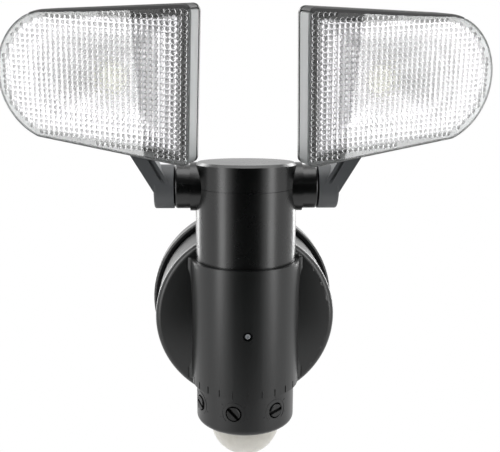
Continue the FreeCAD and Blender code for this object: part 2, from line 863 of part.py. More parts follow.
def clip_start():
    return clip_seat - clip_offset - clip_thickness


def spigot_end():
    return clip_start() - spigot_tail


def clip_ring(outer, inner):
    x0 = clip_start()
    ring = rod_x(outer, x0, x0 + clip_thickness, column_y, seam_height)
    return ring.cut(rod_x(inner, x0 - cut_margin, x0 + clip_thickness + cut_margin, column_y, seam_height))


def arm_clip(side):
    ring = clip_ring(clip_radius, spigot_radius - clip_groove_depth)
    half = clip_opening / 2
    gap = box(0, column_radius, column_y - half, column_y + half, seam_height, seam_height + 2 * clip_radius)
    return tilted(ring.cut(gap), side)


# ---------------------------------------------------------------- lamp heads

def head_point(u, w, v):
    """A point of the head's own frame, before lean, swivel and tilt."""
    inner_end = swivel_reach - head_swivel_run
    return vec(inner_end + u, swivel_y - head_swivel_depth + w, head_centre_height + v)


def tip_circle():
    """Centre and radius of the head's round end, through its two corners and its tip."""
    (x1, y1), (x2, y2), (x3, y3) = ((head_top_run, head_end_half_height), (head_length, head_tip_rise),
                                    (head_bottom_run, -head_end_half_height))
    d = 2 * (x1 * (y2 - y3) + x2 * (y3 - y1) + x3 * (y1 - y2))
    s1, s2, s3 = x1 ** 2 + y1 ** 2, x2 ** 2 + y2 ** 2, x3 ** 2 + y3 ** 2
    cx = (s1 * (y2 - y3) + s2 * (y3 - y1) + s3 * (y1 - y2)) / d
    cy = (s1 * (x3 - x2) + s2 * (x1 - x3) + s3 * (x2 - x1)) / d
    return cx, cy, math.hypot(x1 - cx, y1 - cy)


def edge_meets_circle(run, sign, inset):
    """Where the top (sign 1) or bottom (sign -1) edge, moved in by inset, meets the round end."""
    half = head_inner_height / 2
    dx, dy = run, sign * (head_end_half_height - half)
    length = math.hypot(dx, dy)
    dx, dy = dx / length, dy / length
    px, py = sign * dy * inset, sign * half - sign * dx * inset
    cx, cy, radius = tip_circle()
    radius -= inset
    ox, oy = px - cx, py - cy
    along = ox * dx + oy * dy
    reach = -along + math.sqrt(along ** 2 - (ox ** 2 + oy ** 2 - radius ** 2))
    inner_reach = (inset - px) / dx
    return (px + inner_reach * dx, py + inner_reach * dy), (px + reach * dx, py + reach * dy)


def round_corner(before, corner, after, radius):
    """Start, middle and end of an arc that rounds a corner of two straight edges."""
    def unit(point):
        dx, dy = point[0] - corner[0], point[1] - corner[1]
        size = math.hypot(dx, dy)
        return dx / size, dy / size
    a, b = unit(before), unit(after)
    half = math.acos(a[0] * b[0] + a[1] * b[1]) / 2
    cut = radius / math.tan(half)
    mid = (a[0] + b[0], a[1] + b[1])
    size = math.hypot(*mid)
    depth = radius / math.sin(half) - radius
    return [(corner[0] + a[0] * cut, corner[1] + a[1] * cut),
            (corner[0] + mid[0] / size * depth, corner[1] + mid[1] / size * depth),
            (corner[0] + b[0] * cut, corner[1] + b[1] * cut)]


def head_outline(inset, depth, corner_round=None):
    """The head's outline as a wire, moved in by inset and back by depth."""
    corner = head_corner_round if corner_round is None else corner_round
    top_inner, top_outer = edge_meets_circle(head_top_run, 1, inset)
    bottom_inner, bottom_outer = edge_meets_circle(head_bottom_run, -1, inset)
    cx, cy, radius = tip_circle()
    tip = (cx + radius - inset, cy)
    top_arc = round_corner(bottom_inner, top_inner, top_outer, corner)
    bottom_arc = round_corner(bottom_outer, bottom_inner, top_inner, corner)

    def at(point):
        return head_point(point[0], depth, point[1])
    edges = [Part.LineSegment(at(bottom_arc[2]), at(top_arc[0])).toShape(),
             Part.Arc(*[at(point) for point in top_arc]).toShape(),
             Part.LineSegment(at(top_arc[2]), at(top_outer)).toShape(),
             Part.Arc(at(top_outer), at(tip), at(bottom_outer)).toShape(),
             Part.LineSegment(at(bottom_outer), at(bottom_arc[0])).toShape(),
             Part.Arc(*[at(point) for point in bottom_arc]).toShape()]
    return Part.Wire(edges)


def head_loft(*stations):
    """A solid through outlines given as (inset, depth)."""
    return Part.makeLoft([head_outline(inset, depth) for inset, depth in stations], True, True)


def leaned(shape):
    return shape.rotated(vec(swivel_reach, swivel_y, swivel_height), Y_AXIS, -head_lean)


def head_lens(side):
    body = head_loft((lens_bevel, 0), (0, lens_bevel), (0, lens_skirt))
    body = body.cut(head_loft((lens_wall, lens_wall), (lens_wall, lens_skirt + cut_margin)))
    return swivelled(leaned(body), side)


def lens_gasket(side):
    front, back = lens_skirt, lens_skirt + gasket_seat
    ring = head_loft((lens_gap, front), (lens_gap, back))
    ring = ring.cut(head_loft((shell_wall, front - cut_margin), (shell_wall, back + cut_margin)))
    return swivelled(leaned(ring), side)


def shell_stations(inset):
    front = lens_skirt + gasket_seat
    return [(inset, front), (inset, front + shell_flange_depth), (shell_back_inset + inset, shell_depth)]


def head_shell(side):
    body = head_loft(*shell_stations(0)).cut(shell_cavity())
    for screw_boss in head_screw_bosses():
        body = body.fuse(screw_boss)
    body = leaned(body).fuse(shell_fins()).fuse(shell_tongue())
    low, high = tongue_bottom() - cut_margin, tongue_top() + cut_margin
    body = body.cut(rod_z(pin_radius + pin_clearance, low, high, swivel_reach, swivel_y))
    seat = shell_depth - head_screw_head_height
    sink_radius = head_screw_head_radius + fit_gap
    for u, v in head_screw_places():
        body = body.cut(leaned(head_rod(head_screw_radius, u, v, reflector_depth, 2 * shell_depth)))
        body = body.cut(leaned(head_rod(sink_radius, u, v, seat, 2 * shell_depth)))
    return swivelled(body.removeSplitter(), side)


def shell_cavity():
    inner = shell_stations(shell_wall)
    inner[0] = (shell_wall, lens_skirt + gasket_seat - cut_margin)
    inner[2] = (shell_back_inset + shell_wall, shell_depth - shell_wall)
    return head_loft(*inner)


def shell_fins():
    """Cooling fins across the back, cut away where the arm passes as the head swivels."""
    fins = Part.makeCompound([shell_fin(index) for index in range(fin_count)])
    front, flange, _ = shell_stations(0)
    fin_tips = (shell_back_inset - fin_height, shell_depth + fin_height)
    fins = fins.common(head_loft(front, flange, fin_tips)).cut(shell_cavity())
    room_radius = math.hypot(bar_width / 2, ear_radius) + head_arm_gap
    return leaned(fins).cut(rod_z(room_radius, seam_height, fork_top() + cut_margin, swivel_reach, swivel_y))


def shell_fin(index):
    u = head_swivel_run + (index - (fin_count - 1) / 2) * fin_pitch
    low = head_point(u - fin_width / 2, shell_depth / 2, -head_end_half_height)
    return Part.makeBox(fin_width, shell_depth / 2 + fin_height, 2 * head_end_half_height, low)


def shell_tongue():
    """The lug on the shell's back that turns on the arm's pin."""
    y = swivel_y
    front = y - head_swivel_depth + shell_depth - shell_wall
    tongue = rod_z(tongue_radius, tongue_bottom(), tongue_top(), swivel_reach, y)
    return tongue.fuse(box(swivel_reach - tongue_radius, swivel_reach + tongue_radius, front, y,
                           tongue_bottom(), tongue_top()))


def head_rod(radius, u, v, w0, w1):
    return Part.makeCylinder(radius, w1 - w0, head_point(u, w0, v), Y_AXIS)


def head_screw_places():
    inset = shell_back_inset + head_screw_inset
    half = head_inner_height / 2 - inset
    far = head_top_run - head_screw_inset
    return [(inset, half), (inset, -half), (far, half - head_screw_inset), (far, -half + head_screw_inset)]


def head_screw_bosses():
    return [head_rod(head_boss_radius, u, v, head_boss_start, shell_depth - shell_wall)
            for u, v in head_screw_places()]


def head_screws(side):
    screws = []
    for u, v in head_screw_places():
        seat = shell_depth - head_screw_head_height
        shank = head_rod(head_screw_radius, u, v, reflector_depth + led_height, seat)
        head = head_rod(head_screw_head_radius, u, v, seat, shell_depth)
        screws.append(swivelled(leaned(shank.fuse(head)), side))
    return Part.makeCompound(screws)


def reflector(side):
    front = lens_wall + reflector_front_gap
    floor = reflector_depth
    outer = head_loft((reflector_inset, front), (reflector_floor_inset, floor + reflector_wall))
    wall = reflector_wall
    rim_inset = reflector_inset + wall
    inner = head_loft((rim_inset, front - cut_margin), (rim_inset, front),
                      (reflector_floor_inset + wall, floor))
    tray = outer.cut(inner)
    half = led_size / 2 + led_opening_margin
    opening = Part.makeBox(2 * half, reflector_depth, 2 * half,
                           head_point(led_run - half, reflector_depth - wall, -half))
    return swivelled(leaned(tray.cut(opening)), side)


def led_board(side):
    front = reflector_depth + reflector_wall
    corner = head_point(led_run - led_board_length / 2, front, -led_board_height / 2)
    board = Part.makeBox(led_board_length, led_board_thickness, led_board_height, corner)
    return swivelled(leaned(board), side)


def led_chip(side):
    back = reflector_depth + reflector_wall
    half = led_size / 2
    front = back - led_height
    base = Part.makeBox(led_size, led_height, led_size, head_point(led_run - half, front, -half))
    emitter = head_rod(led_emitter_radius, led_run, 0, front - led_emitter_height, front)
    return swivelled(leaned(base.fuse(emitter)), side)


# ---------------------------------------------------------------- sensor head

def turned(shape, angle):
    return shape.rotated(COLUMN_AXIS, Z_AXIS, angle)


def dial_angles():
    return {"left": sensor_turn - dial_spacing, "middle": sensor_turn, "right": sensor_turn + dial_spacing}


def dial_rod(radius, r0, r1):
    """A rod along the front radius at dial height, from radius r0 out to r1."""
    return rod_y(radius, column_y - r1, column_y - r0, 0, dial_height)


def sensor_housing():
    top = sensor_top
    body = rod_z(sensor_radius, sensor_bottom, top)
    bottom_edge = [edge for edge in body.Edges
                   if edge.isClosed() and abs(edge.CenterOfMass.z - sensor_bottom) < edge_tolerance]
    body = body.makeFillet(sensor_edge_round, bottom_edge)
    body = body.fuse(rod_z(neck_radius, top, neck_top))
    inner_radius = sensor_radius - sensor_wall
    floor = sensor_bottom + sensor_wall
    inside = rod_z(inner_radius, floor, top - sensor_wall)
    floor_edge = [edge for edge in inside.Edges
                  if edge.isClosed() and abs(edge.CenterOfMass.z - floor) < edge_tolerance]
    inside = inside.makeFillet(sensor_edge_round - sensor_wall / 2, floor_edge)
    body = body.cut(inside)
    body = body.cut(rod_z(neck_radius - neck_wall, top - 2 * sensor_wall, neck_top + cut_margin))
    groove_low = ledge_top + fit_gap
    groove = rod_z(neck_radius + cut_margin, groove_low, groove_low + ring_thickness)
    core = rod_z(neck_radius - ring_groove_depth, sensor_bottom, neck_top + cut_margin)
    body = body.cut(groove.cut(core))
    dome_hole = dome_radius + dome_hole_clearance
    body = body.cut(rod_z(dome_hole, sensor_bottom - cut_margin, top - 2 * sensor_wall))
    for angle in dial_angles().values():
        body = body.cut(turned(dial_rod(dial_radius + dial_clearance, inner_radius / 2,
                                        sensor_radius + cut_margin), angle))
    return body.removeSplitter()


def sensor_retaining_ring():
    low = ledge_top + fit_gap
    high = low + ring_thickness
    ring = rod_z(ring_radius, low, high)
    ring = ring.cut(rod_z(neck_radius - ring_groove_depth, low - cut_margin, high + cut_margin))
    half = clip_opening / 2
    opening = box(-half, half, column_y, column_y + column_radius, low - cut_margin, high + cut_margin)
    return ring.cut(opening)


def sensor_lens():
    seat = sensor_bottom + sensor_wall
    centre = vec(0, column_y, dome_centre)
    outer = Part.makeSphere(dome_radius, centre, Z_AXIS, -90, 0, full_turn)
    outer = outer.fuse(rod_z(dome_radius, dome_centre, seat))
    outer = outer.fuse(rod_z(dome_radius + dome_flange, seat, seat + dome_wall))
    inner_radius = dome_radius - dome_wall
    inner = Part.makeSphere(inner_radius, centre, Z_AXIS, -90, 0, full_turn)
    inner = inner.fuse(rod_z(inner_radius, dome_centre, seat + 2 * dome_wall))
    return outer.cut(inner).removeSplitter()


def lens_retainer():
    low = sensor_bottom + sensor_wall + dome_wall
    outer = dome_radius + dome_flange
    ring = rod_z(outer, low, low + retainer_thickness)
    return ring.cut(rod_z(outer - retainer_width, low - cut_margin, low + retainer_thickness + cut_margin))


def sensor_board():
    return rod_z(sensor_board_radius, sensor_board_height, sensor_board_height + sensor_board_thickness)


def pir_holder():
    outer = pir_radius + pir_holder_wall
    tube = rod_z(outer, pir_face + pir_height, sensor_board_height)
    return tube.cut(rod_z(pir_radius - pir_holder_wall, pir_face, sensor_board_height + cut_margin))


def pir_element():
    can = rod_z(pir_radius, pir_face, pir_face + pir_height)
    half = pir_window / 2
    window = box(-half, half, column_y - half, column_y + half, pir_face - cut_margin, pir_face + fit_gap)
    return can.cut(window)


def pot_front():
    return sensor_radius + dial_proud - dial_thickness - dial_stem_length / 2


def potentiometers():
    half = pot_size / 2
    bodies = []
    front = pot_front()
    for angle in dial_angles().values():
        body = box(-half, half, column_y - front, column_y - front + pot_depth, dial_height - half,
                   sensor_board_height)
        body = body.cut(dial_rod(dial_stem_radius + stem_clearance, front - pot_depth, front + cut_margin))
        bodies.append(turned(body, angle))
    return Part.makeCompound(bodies)


def dial(place):
    face = sensor_radius + dial_proud
    back = face - dial_thickness
    knob = dial_rod(dial_radius, back, face).fuse(dial_rod(dial_stem_radius, back - dial_stem_length, back))
    half = dial_slot_width / 2
    slot = box(-dial_radius, dial_radius, column_y - face - cut_margin, column_y - face + dial_slot_depth,
               dial_height - half, dial_height + half)
    centre = vec(0, column_y, dial_height)
    knob = knob.cut(slot.rotated(centre, Y_AXIS, dial_turns[place]))
    return turned(knob, dial_angles()[place])


# ---------------------------------------------------------------- build

root_pieces = {
    "wall_plate": wall_plate, "wall_gasket": wall_gasket, "cable_grommet": cable_grommet,
    "cable_clamp": cable_clamp, "clamp_screws": clamp_screws, "terminal_block": terminal_block,
    "terminal_screws": terminal_screws, "base_housing": base_housing, "base_screws": base_screws,
    "column_lock_screw": column_lock_screw, "column_tube": column_tube, "column_cap": column_cap,
    "driver_board": driver_board, "driver_transformer": driver_transformer,
    "driver_capacitor": driver_capacitor,
}
sensor_pieces = {
    "sensor_housing": sensor_housing, "sensor_retaining_ring": sensor_retaining_ring,
    "sensor_lens": sensor_lens, "lens_retainer": lens_retainer, "sensor_board": sensor_board,
    "pir_holder": pir_holder, "pir_element": pir_element, "potentiometers": potentiometers,
}
side_pieces = {
    "arm": arm_bracket, "arm_clip": arm_clip, "arm_seal": arm_seal, "swivel_pin": swivel_pin,
    "head_shell": head_shell, "head_lens": head_lens, "head_gasket": lens_gasket,
    "reflector": reflector, "led_board": led_board, "led_chip": led_chip, "head_screws": head_screws,
}

for node, make in {**root_pieces, **sensor_pieces}.items():
    save(make(), node)
for side in ("left", "right"):
    for node, make in side_pieces.items():
        save(make(side), side + "_" + node)
for place in dial_turns:
    save(dial(place), place + "_dial")
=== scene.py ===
import bpy
import bmesh
import math
from mathutils import Matrix, Vector
from mathutils.geometry import delaunay_2d_cdt


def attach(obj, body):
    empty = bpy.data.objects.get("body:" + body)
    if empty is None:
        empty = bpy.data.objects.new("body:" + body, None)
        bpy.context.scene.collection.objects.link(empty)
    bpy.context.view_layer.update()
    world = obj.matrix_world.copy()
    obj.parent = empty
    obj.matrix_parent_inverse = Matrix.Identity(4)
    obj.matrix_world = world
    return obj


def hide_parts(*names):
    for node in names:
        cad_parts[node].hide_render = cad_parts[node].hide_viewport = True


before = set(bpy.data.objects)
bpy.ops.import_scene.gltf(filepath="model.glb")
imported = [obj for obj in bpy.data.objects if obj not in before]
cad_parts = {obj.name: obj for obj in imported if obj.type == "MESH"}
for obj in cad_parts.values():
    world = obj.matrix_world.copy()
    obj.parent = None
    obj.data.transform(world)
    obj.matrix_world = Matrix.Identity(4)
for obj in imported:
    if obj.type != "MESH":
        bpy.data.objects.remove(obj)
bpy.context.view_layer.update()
print("frame loaded")

mm = 0.001
sides = ("left", "right")
dials = ("left", "middle", "right")


def linearColour(hexCode):
    code = hexCode.lstrip("#")
    parts = [int(code[i:i + 2], 16) / 255 for i in (0, 2, 4)]
    return tuple(c / 12.92 if c <= 0.04045 else ((c + 0.055) / 1.055) ** 2.4 for c in parts) + (1.0,)


def addNode(tree, kind, settings=None, links=None):
    node = tree.nodes.new(kind)
    for name, value in (settings or {}).items():
        if name in node.inputs:
            node.inputs[name].default_value = value
        else:
            setattr(node, name, value)
    for name, source in (links or {}).items():
        tree.links.new(source, node.inputs[name])
    return node


def startMaterial(name):
    material = bpy.data.materials.new(name)
    material.use_nodes = True
    material.node_tree.nodes.clear()
    return material, material.node_tree


def meshObject(name, bm, material, body, smooth=True):
    bmesh.ops.recalc_face_normals(bm, faces=bm.faces)
    mesh = bpy.data.meshes.new(name)
    bm.to_mesh(mesh)
    bm.free()
    mesh.polygons.foreach_set("use_smooth", [smooth] * len(mesh.polygons))
    mesh.materials.append(material)
    piece = bpy.data.objects.new(name, mesh)
    bpy.context.scene.collection.objects.link(piece)
    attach(piece, body)
    return piece


def bridgeRings(bm, rings, closed=False):
    pairs = list(zip(rings, rings[1:])) + ([(rings[-1], rings[0])] if closed else [])
    made = []
    for first, second in pairs:
        count = len(first)
        for i in range(count):
            j = (i + 1) % count
            made.append(bm.faces.new((first[i], first[j], second[j], second[i])))
    return made


mouldedPlastics = {
    # satin black ABS from an eroded mould: dark, slightly green, broad soft highlights
    "satinBlackAbs": {"colour": "#080a0a", "roughness": 0.32, "ior": 1.53, "grainMm": 0.5, "reliefMm": 0.012},
    # the column's ABS has a finer polish, so its highlight bands are narrower
    "polishedBlackAbs": {"colour": "#070808", "roughness": 0.27, "ior": 1.53, "grainMm": 0.4, "reliefMm": 0.005},
    # sensor head and its sleeve: the same ABS, a little duller and greyer from a coarser mould
    "dullBlackAbs": {"colour": "#070809", "roughness": 0.34, "ior": 1.53, "grainMm": 0.6, "reliefMm": 0.016},
    # the lip over the lens: the shell's ABS where the mould is left matt
    "mattBlackAbs": {"colour": "#050606", "roughness": 0.55, "ior": 1.53, "grainMm": 0.6, "reliefMm": 0.016},
    # glass-filled nylon arms: greyer, with a coarse sparkling grain
    "grainedNylon": {"colour": "#4c4e50", "roughness": 0.50, "ior": 1.53, "grainMm": 0.55, "reliefMm": 0.04},
    # acetal dials: very dark, close and smooth
    "blackAcetal": {"colour": "#050606", "roughness": 0.42, "ior": 1.48, "grainMm": 0.3, "reliefMm": 0.004},
    # soft rubber seals: dull black
    "mouldedRubber": {"colour": "#121212", "roughness": 0.75, "ior": 1.52, "grainMm": 0.6, "reliefMm": 0.01},
    # unpainted inner mouldings: plain grey polypropylene
    "greyPolypropylene": {"colour": "#5c5e60", "roughness": 0.5, "ior": 1.49, "grainMm": 0.6, "reliefMm": 0.008},
    # terminal strip: white polyamide, a little creamy
    "whitePolyamide": {"colour": "#dcd9ce", "roughness": 0.45, "ior": 1.53, "grainMm": 0.6, "reliefMm": 0.006},
    # solder mask on fibreglass: green with a lacquer gloss
    "greenSolderMask": {"colour": "#1c5a37", "roughness": 0.28, "ior": 1.5, "grainMm": 0.8, "reliefMm": 0.006},
    # white solder mask on the aluminium lamp board
    "whiteSolderMask": {"colour": "#e4e6e4", "roughness": 0.32, "ior": 1.5, "grainMm": 0.8, "reliefMm": 0.004},
    # yellow coil tape round the transformer
    "coilTape": {"colour": "#c9a63a", "roughness": 0.35, "ior": 1.5, "grainMm": 1.2, "reliefMm": 0.02},
    # dark blue shrink sleeve on the capacitor
    "shrinkSleeve": {"colour": "#1b2550", "roughness": 0.25, "ior": 1.5, "grainMm": 1.5, "reliefMm": 0.01},
}


def mouldedPlastic(name):
    values = mouldedPlastics[name]
    material, tree = startMaterial(name)
    place = addNode(tree, "ShaderNodeTexCoord")
    grain = addNode(tree, "ShaderNodeTexNoise", {"Scale": 1 / (values["grainMm"] * mm), "Detail": 2.0},
                    {"Vector": place.outputs["Object"]})
    wear = addNode(tree, "ShaderNodeTexNoise", {"Scale": 1 / (25 * mm), "Detail": 3.0},
                   {"Vector": place.outputs["Object"]})
    gloss = addNode(tree, "ShaderNodeMapRange", {"To Min": values["roughness"] - 0.04,
                                                 "To Max": values["roughness"] + 0.04},
                    {"Value": wear.outputs["Fac"]})
    relief = addNode(tree, "ShaderNodeBump", {"Strength": 0.5, "Distance": values["reliefMm"] * mm},
                     {"Height": grain.outputs["Fac"]})
    shader = addNode(tree, "ShaderNodeBsdfPrincipled",
                     {"Base Color": linearColour(values["colour"]), "IOR": values["ior"]},
                     {"Roughness": gloss.outputs["Result"], "Normal": relief.outputs["Normal"]})
    addNode(tree, "ShaderNodeOutputMaterial", links={"Surface": shader.outputs[0]})
    return material


metals = {
    # zinc-plated steel screws: cool grey, fairly bright
    "zincPlatedSteel": {"colour": "#b9bcc0", "roughness": 0.28},
    # blued spring steel clips
    "springSteel": {"colour": "#7d8084", "roughness": 0.35},
    # turned brass terminal screws
    "turnedBrass": {"colour": "#c79a52", "roughness": 0.3},
    # nickel-plated can of the infrared detector
    "nickelCan": {"colour": "#c2beb4", "roughness": 0.25},
    # vacuum-metallised ABS reflector: bright silver with a satin spread
    "metallisedAbs": {"colour": "#d9d6d9", "roughness": 0.36},
}


def plainMetal(name):
    values = metals[name]
    material, tree = startMaterial(name)
    place = addNode(tree, "ShaderNodeTexCoord")
    wear = addNode(tree, "ShaderNodeTexNoise", {"Scale": 1 / (6 * mm), "Detail": 3.0},
                   {"Vector": place.outputs["Object"]})
    gloss = addNode(tree, "ShaderNodeMapRange", {"To Min": values["roughness"] - 0.05,
                                                 "To Max": values["roughness"] + 0.05},
                    {"Value": wear.outputs["Fac"]})
    shader = addNode(tree, "ShaderNodeBsdfPrincipled",
                     {"Base Color": linearColour(values["colour"]), "Metallic": 1.0},
                     {"Roughness": gloss.outputs["Result"]})
    addNode(tree, "ShaderNodeOutputMaterial", links={"Surface": shader.outputs[0]})
    return material


def clearPolycarbonate():
    # injection-moulded polycarbonate lens: water clear, polished, refracts strongly
    material, tree = startMaterial("clearPolycarbonate")
    shader = addNode(tree, "ShaderNodeBsdfPrincipled",
                     {"Base Color": linearColour("#fbfcfc"), "Roughness": 0.02, "IOR": 1.585,
                      "Transmission Weight": 1.0})
    addNode(tree, "ShaderNodeOutputMaterial", links={"Surface": shader.outputs[0]})
    return material


def frostedPolycarbonate():
    # the lens's skirt, left matt by the mould: the light spreads in it, so it looks pale and not clear
    material, tree = startMaterial("frostedPolycarbonate")
    shader = addNode(tree, "ShaderNodeBsdfPrincipled",
                     {"Base Color": linearColour("#a9acac"), "Roughness": 0.45, "IOR": 1.585,
                      "Transmission Weight": 0.6})
    addNode(tree, "ShaderNodeOutputMaterial", links={"Surface": shader.outputs[0]})
    return material


def milkyPolyethylene():
    # thin polyethylene of the infrared lens: milky, with faint facet lines of its fresnel pattern
    values = {"centre": (0, -58, -66), "facetMm": 5.2, "lineShare": 0.1, "reliefMm": 0.1}
    material, tree = startMaterial("milkyPolyethylene")
    place = addNode(tree, "ShaderNodeTexCoord")
    cloud = addNode(tree, "ShaderNodeTexNoise", {"Scale": 1 / (4 * mm), "Detail": 2.0},
                    {"Vector": place.outputs["Object"]})
    tone = addNode(tree, "ShaderNodeMix", {"data_type": "RGBA"}, {"Factor": cloud.outputs["Fac"]})
    tone.inputs["A"].default_value = linearColour("#d6d3ca")
    tone.inputs["B"].default_value = linearColour("#dfdcd4")
    local = addNode(tree, "ShaderNodeMapping", {"Location": tuple(-v * mm for v in values["centre"])},
                    {"Vector": place.outputs["Object"]})
    facets = addNode(tree, "ShaderNodeTexVoronoi",
                     {"feature": "DISTANCE_TO_EDGE", "Scale": 1 / (values["facetMm"] * mm), "Randomness": 0.25},
                     {"Vector": local.outputs["Vector"]})
    line = addNode(tree, "ShaderNodeMapRange", {"From Max": values["lineShare"]},
                   {"Value": facets.outputs["Distance"]})
    relief = addNode(tree, "ShaderNodeBump", {"Strength": 0.6, "Distance": values["reliefMm"] * mm},
                     {"Height": line.outputs["Result"]})
    shader = addNode(tree, "ShaderNodeBsdfPrincipled",
                     {"Roughness": 0.38, "IOR": 1.51, "Subsurface Weight": 0.35,
                      "Subsurface Radius": (0.004, 0.004, 0.0035)},
                     {"Base Color": tone.outputs["Result"], "Normal": relief.outputs["Normal"]})
    addNode(tree, "ShaderNodeOutputMaterial", links={"Surface": shader.outputs[0]})
    return material


def blackOxideSteelWithPaintedHighlight():
    # locking screw: steel blackened by oxide, with a highlight painted bright round its socket
    values = {"highlightMm": 1.35, "highlightEdgeMm": 0.25}
    material, tree = startMaterial("blackOxideSteelWithPaintedHighlight")
    place = addNode(tree, "ShaderNodeTexCoord")
    flat = addNode(tree, "ShaderNodeVectorMath", {"operation": "MULTIPLY"}, {0: place.outputs["Object"]})
    flat.inputs[1].default_value = (1, 0, 1)
    radius = addNode(tree, "ShaderNodeVectorMath", {"operation": "LENGTH"}, {0: flat.outputs["Vector"]})
    # painted highlight: bright metal colour in a small disc round the socket, fading out to the black oxide
    paintedHighlight = addNode(tree, "ShaderNodeMapRange", {"From Min": (values["highlightMm"] + values["highlightEdgeMm"]) * mm,
                                                "From Max": values["highlightMm"] * mm},
                   {"Value": radius.outputs["Value"]})
    tone = addNode(tree, "ShaderNodeMix", {"data_type": "RGBA"}, {"Factor": paintedHighlight.outputs["Result"]})
    tone.inputs["A"].default_value = linearColour("#1a1b1c")
    # colour of the painted highlight
    tone.inputs["B"].default_value = linearColour("#c4c7ca")
    shader = addNode(tree, "ShaderNodeBsdfPrincipled", {"Roughness": 0.42, "Metallic": 1.0},
                     {"Base Color": tone.outputs["Result"]})
    addNode(tree, "ShaderNodeOutputMaterial", links={"Surface": shader.outputs[0]})
    return material


def phosphorCoat():
    # yellow phosphor layer over the lamp chips, unlit
    material, tree = startMaterial("phosphorCoat")
    place = addNode(tree, "ShaderNodeTexCoord")
    speck = addNode(tree, "ShaderNodeTexNoise", {"Scale": 1 / (1.5 * mm)}, {"Vector": place.outputs["Object"]})
    tone = addNode(tree, "ShaderNodeMix", {"data_type": "RGBA"}, {"Factor": speck.outputs["Fac"]})
    tone.inputs["A"].default_value = linearColour("#f8f4dc")
    tone.inputs["B"].default_value = linearColour("#fbf9ea")
    shader = addNode(tree, "ShaderNodeBsdfPrincipled", {"Roughness": 0.4, "IOR": 1.45},
                     {"Base Color": tone.outputs["Result"]})
    addNode(tree, "ShaderNodeOutputMaterial", links={"Surface": shader.outputs[0]})
    return material


finishes = {name: mouldedPlastic(name) for name in mouldedPlastics}
finishes.update({name: plainMetal(name) for name in metals})
finishes["clearPolycarbonate"] = clearPolycarbonate()
finishes["frostedPolycarbonate"] = frostedPolycarbonate()
finishes["milkyPolyethylene"] = milkyPolyethylene()
finishes["phosphorCoat"] = phosphorCoat()
finishes["blackOxideSteelWithPaintedHighlight"] = blackOxideSteelWithPaintedHighlight()
print("finishes made:", len(finishes))

nodeFinish = {
    "wall_plate": "satinBlackAbs", "wall_gasket": "mouldedRubber", "cable_grommet": "mouldedRubber",
    "cable_clamp": "greyPolypropylene", "clamp_screws": "zincPlatedSteel", "terminal_block": "whitePolyamide",
    "terminal_screws": "turnedBrass", "base_housing": "satinBlackAbs", "base_screws": "zincPlatedSteel",
    "column_lock_screw": "blackOxideSteelWithPaintedHighlight", "column_tube": "polishedBlackAbs", "column_cap": "polishedBlackAbs",
    "driver_board": "greenSolderMask", "driver_transformer": "coilTape", "driver_capacitor": "shrinkSleeve",
    "sensor_housing": "dullBlackAbs", "sensor_retaining_ring": "greyPolypropylene",
    "sensor_lens": "milkyPolyethylene", "lens_retainer": "greyPolypropylene", "sensor_board": "greenSolderMask",
    "pir_holder": "greyPolypropylene", "pir_element": "nickelCan", "potentiometers": "greyPolypropylene",
}
sideFinish = {
    "arm": "grainedNylon", "arm_clip": "springSteel", "arm_seal": "mouldedRubber", "swivel_pin": "zincPlatedSteel",
    "head_shell": "satinBlackAbs", "head_lens": "clearPolycarbonate", "head_gasket": "mouldedRubber",
    "reflector": "metallisedAbs", "led_board": "whiteSolderMask", "led_chip": "phosphorCoat",
    "head_screws": "zincPlatedSteel",
}
nodeFinish.update({side + "_" + piece: finish for side in sides for piece, finish in sideFinish.items()})
nodeFinish.update({place + "_dial": "blackAcetal" for place in dials})
for node, finish in nodeFinish.items():
    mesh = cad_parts[node].data
    mesh.materials.clear()
    mesh.materials.append(finishes[finish])
print("solids painted:", len(nodeFinish))


# where a head stands, in the frame's millimetres
headPlace = {
    "shoulder": (0, -58, 83), "pinReach": 71.3, "pinHeight": 132, "innerEnd": 13.7, "lensFace": -95.8,
    "centreHeight": 150.2, "lean": 1.8,
    "tilt": {"left": 6.5, "right": 7.5}, "swivel": {"left": 21.5, "right": 19.0},
}


def turnAbout(point, degrees, axis):
    foot = Vector(point)
    return Matrix.Translation(foot) @ Matrix.Rotation(math.radians(degrees), 4, axis) @ Matrix.Translation(-foot)


def headMatrix(side):
    values = headPlace
    shoulder = values["shoulder"]
    foot = (values["pinReach"], shoulder[1], 0)
    pivot = (values["pinReach"], shoulder[1], values["pinHeight"])
    turn = turnAbout(shoulder, values["tilt"][side], "X") @ turnAbout(foot, values["swivel"][side], "Z")
    turn = turn @ turnAbout(pivot, -values["lean"], "Y")
    turn = turn @ Matrix.Translation((values["innerEnd"], values["lensFace"], values["centreHeight"]))
    if side == "left":
        turn = Matrix.Scale(-1, 4, (1, 0, 0)) @ turn
    return Matrix.Scale(mm, 4) @ turn


# lens: a clear cover whose inside is a close grid of small round lenslets
lensShape = {
    "innerHeight": 82, "topRun": 81.2, "bottomRun": 89.8, "endHalfHeight": 34, "length": 113.5, "tipRise": 1.5,
    "cornerRound": 4, "skirt": 10.5, "wall": 1.5, "faceDepth": 0.45, "bevel": 1.1, "inset": 0.1, "lipInset": 0.6,
    "pitchAcross": 3.1, "pitchUp": 2.8, "lensletRadius": 1.32, "ballRadius": 1.58, "lensletMargin": 0.25,
    "lipFrom": 2, "lipTo": 24,
}


def tipCircle():
    s = lensShape
    (x1, y1), (x2, y2), (x3, y3) = ((s["topRun"], s["endHalfHeight"]), (s["length"], s["tipRise"]),
                                    (s["bottomRun"], -s["endHalfHeight"]))
    d = 2 * (x1 * (y2 - y3) + x2 * (y3 - y1) + x3 * (y1 - y2))
    s1, s2, s3 = x1 * x1 + y1 * y1, x2 * x2 + y2 * y2, x3 * x3 + y3 * y3
    cx = (s1 * (y2 - y3) + s2 * (y3 - y1) + s3 * (y1 - y2)) / d
    cy = (s1 * (x3 - x2) + s2 * (x1 - x3) + s3 * (x2 - x1)) / d
    return cx, cy, math.hypot(x1 - cx, y1 - cy)


